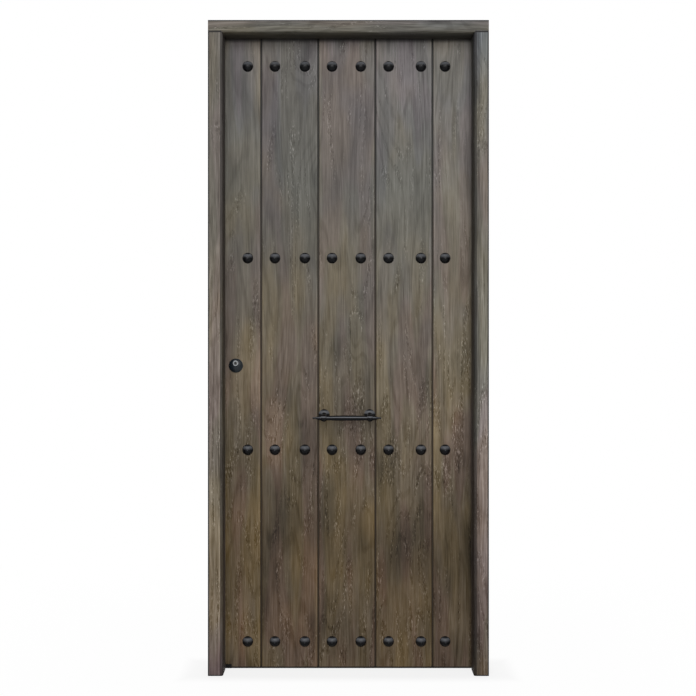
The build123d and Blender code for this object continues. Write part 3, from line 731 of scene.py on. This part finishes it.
STRIP_HEIGHT = 0.0056
STRIP_DEPTH = 0.011
STRIP_END = 0.004  # short of the boards' outer edges
STRIP_SINK = 0.0002  # into the boards, and back from their faces
STRIP_ROUND = 0.0006
first_low, first_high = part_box("outer_board_1")
last_low, last_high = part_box(f"outer_board_{BOARDS}")
leaf_low_x = min(first_low.x, last_low.x)
leaf_high_x = max(first_high.x, last_high.x)
boards_face = first_low.y
boards_foot = first_low.z
strip_low = (leaf_low_x + STRIP_END, boards_face + STRIP_SINK, boards_foot - STRIP_HEIGHT)
strip_high = (leaf_high_x - STRIP_END, boards_face + STRIP_DEPTH, boards_foot + STRIP_SINK)
# Painted shade: the strip's dark stands for the shadow along the leaf's foot
bottom_shade_finish = rubber("bottom_shade_finish", (0.010, 0.008, 0.006), (0.024, 0.019, 0.014))
strip = moulded_bar(strip_low, strip_high, STRIP_ROUND)
add_piece("bottom_shade_strip", strip, bottom_shade_finish, "leaf")

# Corner pad: a small moulded rubber pad, nailed to the foot of the board on the lock side, below the
# stop, with a rib along its middle.

PAD_START = (0.0035, -0.0022, -0.0050)  # from the board's lower corner, as far as PAD_END
PAD_END = (0.0275, 0.0010, 0.0078)
PAD_ROUND = 0.0008
RIB_DROP = 0.0056  # from the top of the pad
RIB_HEIGHT = 0.0018
RIB_PROUD = 0.0006
pad_corner = (leaf_low_x, boards_face, boards_foot)
pad_low = [corner + start for corner, start in zip(pad_corner, PAD_START)]
pad_high = [corner + end for corner, end in zip(pad_corner, PAD_END)]
rib_high = pad_high[2] - RIB_DROP
rib_low = rib_high - RIB_HEIGHT
pad = moulded_bar(pad_low, pad_high, PAD_ROUND)
for height in (rib_low, rib_high):
    parts = pad.verts[:] + pad.edges[:] + pad.faces[:]
    bmesh.ops.bisect_plane(
        pad, geom=parts, plane_co=(0.0, 0.0, height), plane_no=(0.0, 0.0, 1.0)
    )
rib_faces = [
    face for face in pad.faces
    if rib_low < face.calc_center_median().z < rib_high and face.normal.y < -0.9
]
rib = bmesh.ops.extrude_face_region(pad, geom=rib_faces)
rib_verts = [part for part in rib["geom"] if isinstance(part, bmesh.types.BMVert)]
bmesh.ops.translate(pad, verts=rib_verts, vec=(0.0, -RIB_PROUD, 0.0))
bmesh.ops.recalc_face_normals(pad, faces=pad.faces)
pad_rubber = rubber("pad_rubber", (0.006, 0.006, 0.006), (0.016, 0.014, 0.012))
add_piece("corner_pad", pad, pad_rubber, "leaf")

# Inner boards: five thinner timber boards on the inside, in line with the outer ones and stained
# alike. They are glued to the core and close the leaf from behind.

for number in range(1, BOARDS + 1):
    board = f"inner_board_{number}"
    low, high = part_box(board)
    seed = 20.0 + number
    dress(board, board_finish(f"{board}_stain", seed, low.x, high.x, high.y, -1.0))

# Studs: four rows of eight domed nail heads, forged in iron and blackened. They are driven beside
# the joints between the boards, to hold these to the core.

# The studs' upper sides get a paler tone: a painted highlight
STUD_HIGHLIGHT_TONE = (0.085, 0.088, 0.096)
stud_iron = black_iron("stud_iron", 160.0, 3.1, 0.16, rough=(0.25, 0.33), painted_highlight=STUD_HIGHLIGHT_TONE)
STUD_ROWS = 4
for row in range(1, STUD_ROWS + 1):
    dress(f"stud_row_{row}", stud_iron)

# Stud rings: thin black iron discs under the studs, a little wider than the heads. The black ring
# they show round each head is painted shade.

STUD_OFFSETS = (  # left and right of each joint
    (0.044, 0.045), (0.044, 0.045), (0.048, 0.043), (0.038, 0.041)
)
SHADE_RING_RADIUS = 0.0177
SHADE_RING_EDGE = 0.0006  # how much narrower its front is
SHADE_RING_THICKNESS = 0.0010
SHADE_RING_SINK = 0.0001
SHADE_RING_SIDES = 36
shade_ring_y = boards_face - SHADE_RING_THICKNESS / 2 + SHADE_RING_SINK
facing_out = Matrix.Rotation(math.radians(90.0), 4, "X")
shade_rings = bmesh.new()
for row in range(1, STUD_ROWS + 1):
    row_low, row_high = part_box(f"stud_row_{row}")
    row_middle = (row_low.z + row_high.z) / 2
    for joint, (left, right) in enumerate(STUD_OFFSETS, start=1):
        board_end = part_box(f"outer_board_{joint}")[1].x
        next_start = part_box(f"outer_board_{joint + 1}")[0].x
        for side in (-left, right):
            disc = bmesh.ops.create_cone(
                shade_rings, cap_ends=True, segments=SHADE_RING_SIDES, radius1=SHADE_RING_RADIUS,
                radius2=SHADE_RING_RADIUS - SHADE_RING_EDGE, depth=SHADE_RING_THICKNESS, matrix=facing_out
            )
            place = ((board_end + next_start) / 2 + side, shade_ring_y, row_middle)
            bmesh.ops.translate(shade_rings, verts=disc["verts"], vec=place)
# Painted shade: dark iron for the ring round each stud
shade_ring_iron = black_iron("shade_ring_iron", 160.0, 9.2, 0.10, rough=(0.50, 0.60))
add_piece("stud_shade_rings", shade_rings, shade_ring_iron, "leaf")

# Key cylinder: plated brass with a plug that turns, let through the lock. It sits behind a domed
# black escutcheon outside and a flat round plate inside, screwed together through the leaf.

dress("key_cylinder", brushed_steel("cylinder_plate", (0.30, 0.32, 0.33), "Y"))
dress("key_plug", brushed_steel("plug_plate", (0.09, 0.09, 0.09), "Z"))
escutcheon_iron = black_iron("escutcheon_iron", 60.0, 4.7, 0.36, (2.2, 3.2, 3.5))
dress("outer_escutcheon", escutcheon_iron)
dress("inner_escutcheon", escutcheon_iron)

# Lever: a round black iron lever on a round rose, on the inside, above the cylinder. The rose is
# screwed to the inner board, and the lever is pinned to a spindle through it.

lever_iron = black_iron("lever_iron", 70.0, 5.9)
dress("lever_rose", lever_iron)
dress("lever", lever_iron)

# Pull handle: one forging in black iron, with two domed bases, short necks, and a bellied grip with
# a knob over each neck and drawn-out tips. It is bolted through the middle board. Its upper sides
# have a paler tone: partly wear from hands, partly a painted highlight.

# Paler tone on the pull's upper sides: partly wear from hands, partly a painted highlight
PULL_WEAR_AND_HIGHLIGHT = (0.095, 0.099, 0.106)
pull_iron = black_iron(
    "pull_iron", 90.0, 7.7, 0.14, rough=(0.13, 0.21), painted_highlight=PULL_WEAR_AND_HIGHLIGHT, band=GRIP_HIGHLIGHT_BAND
)
dress("pull_handle", pull_iron)

# Floor: a plain pale surface that the door stands on. It takes the door's shadow, and fades to white
# away from it, so that no horizon shows.

FLOOR_REACH = 14.0
floor_mesh = bpy.data.meshes.new("floor")
shape = bmesh.new()
bmesh.ops.create_grid(shape, x_segments=1, y_segments=1, size=FLOOR_REACH)
bmesh.ops.translate(shape, verts=shape.verts, vec=(frame_middle, 0.0, 0.0))
shape.to_mesh(floor_mesh)
shape.free()
floor = bpy.data.objects.new("floor", floor_mesh)
bpy.context.scene.collection.objects.link(floor)
floor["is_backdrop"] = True


def seen_directly(tree, backdrop):
    """1 for rays from the camera, and for gloss and glass where backdrop is 1; 0 for other light."""
    path = tree.nodes.new("ShaderNodeLightPath")
    mirrored = tree.nodes.new("ShaderNodeMath")
    mirrored.operation = "MAXIMUM"
    tree.links.new(path.outputs["Is Glossy Ray"], mirrored.inputs[0])
    tree.links.new(path.outputs["Is Transmission Ray"], mirrored.inputs[1])
    shown = tree.nodes.new("ShaderNodeMath")
    shown.operation = "MULTIPLY_ADD"
    shown.use_clamp = True
    tree.links.new(mirrored.outputs[0], shown.inputs[0])
    tree.links.new(backdrop, shown.inputs[1])
    tree.links.new(path.outputs["Is Camera Ray"], shown.inputs[2])
    return shown.outputs[0]


PAVING_DARK = (0.60, 0.60, 0.60)
PAVING_PALE = (0.64, 0.64, 0.64)
NEAR_FADE = (0.05, 0.11, 0.82, 0.97)  # how far from the door, and how white
FAR_FADE = (0.2, 1.2, 0.0, 0.03)
paving = Finish("floor_pale")
speckle = paving.noise(paving.object_space, (60.0, 60.0, 60.0), 3.0, 0.6)
paving.surface(paving.blend(speckle, PAVING_DARK, PAVING_PALE), 0.8, specular=0.2)
across, depth, _ = paving.axes(paving.object_space)
aside = paving.math("ABSOLUTE", paving.math("SUBTRACT", across, frame_middle))
beside = paving.math("SUBTRACT", aside, half_width)
away = paving.math("MAXIMUM", beside, paving.math("ABSOLUTE", depth))
behind = paving.math("GREATER_THAN", depth, 0.0)
fade = paving.math("ADD", paving.between(away, *NEAR_FADE), paving.between(away, *FAR_FADE))
fade = paving.math("MULTIPLY", fade, seen_directly(paving.tree, behind))
glow = paving.tree.nodes.new("ShaderNodeEmission")
whiten = paving.tree.nodes.new("ShaderNodeMixShader")
paving.feed(whiten.inputs[0], fade)
paving.feed(whiten.inputs[1], paving.shader.outputs[0])
paving.feed(whiten.inputs[2], glow.outputs[0])
paving.feed(paving.output.inputs["Surface"], whiten.outputs[0])
floor_mesh.materials.append(paving.material)

# Light: one broad soft lamp in front, above eye level, another behind for the inner face, and a dim
# even surround. The camera sees the surround as white, and gloss and glass see a white backdrop.

SURROUND = 0.46
world = bpy.data.worlds.new("surround")
world.use_nodes = True
bpy.context.scene.world = world
sky_nodes, sky_links = world.node_tree.nodes, world.node_tree.links
sky = sky_nodes["Background"]
sky.inputs["Color"].default_value = (1.0, 1.0, 1.0, 1.0)
direction = sky_nodes.new("ShaderNodeTexCoord")
split = sky_nodes.new("ShaderNodeSeparateXYZ")
sky_links.new(direction.outputs["Generated"], split.inputs[0])
behind = sky_nodes.new("ShaderNodeMath")
behind.operation = "GREATER_THAN"
sky_links.new(split.outputs["Y"], behind.inputs[0])
behind.inputs[1].default_value = 0.0
level = sky_nodes.new("ShaderNodeMapRange")
level.inputs["To Min"].default_value = SURROUND
level.inputs["To Max"].default_value = 1.0
sky_links.new(seen_directly(world.node_tree, behind.outputs[0]), level.inputs["Value"])
sky_links.new(level.outputs[0], sky.inputs["Strength"])

LAMP_WATTS = 124.0
LAMP_WIDTH = 4.4
LAMP_LENGTH = 3.4
LAMP_DISTANCE = 3.4
LAMP_HEIGHT = 2.75
AIM_HEIGHT = 1.05


def soft_lamp(name, depth):
    """A broad flat lamp that faces the middle of the door."""
    lamp = bpy.data.lights.new(name, "AREA")
    lamp.shape = "RECTANGLE"
    lamp.energy = LAMP_WATTS
    lamp.size = LAMP_WIDTH
    lamp.size_y = LAMP_LENGTH
    holder = bpy.data.objects.new(name, lamp)
    bpy.context.scene.collection.objects.link(holder)
    holder.location = (frame_middle, depth, LAMP_HEIGHT)
    aim = Vector((frame_middle, 0.0, AIM_HEIGHT)) - holder.location
    holder.rotation_euler = aim.to_track_quat("-Z", "Y").to_euler()


soft_lamp("front_lamp", -LAMP_DISTANCE)
soft_lamp("back_lamp", LAMP_DISTANCE)

# Camera: square on to the door, at mid height, 2.5 m from the front of the frame. The lens is set by
# how wide the picture is there.

VIEW_DISTANCE = 2.5
VIEW_HALF_WIDTH = 1.1136  # of the picture, at the front of the frame
VIEW_ASIDE = -0.0013
VIEW_HEIGHT = 1.0496
SENSOR_WIDTH = 36.0
eye = bpy.data.cameras.new("camera")
eye.sensor_width = SENSOR_WIDTH
eye.lens = SENSOR_WIDTH / 2 * VIEW_DISTANCE / VIEW_HALF_WIDTH
viewer = bpy.data.objects.new("camera", eye)
viewer.location = (frame_middle + VIEW_ASIDE, head_low.y - VIEW_DISTANCE, VIEW_HEIGHT)
viewer.rotation_euler = (math.radians(90.0), 0.0, 0.0)
bpy.context.scene.collection.objects.link(viewer)
bpy.context.scene.camera = viewer
bpy.context.scene.view_settings.view_transform = "Standard"

low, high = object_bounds()
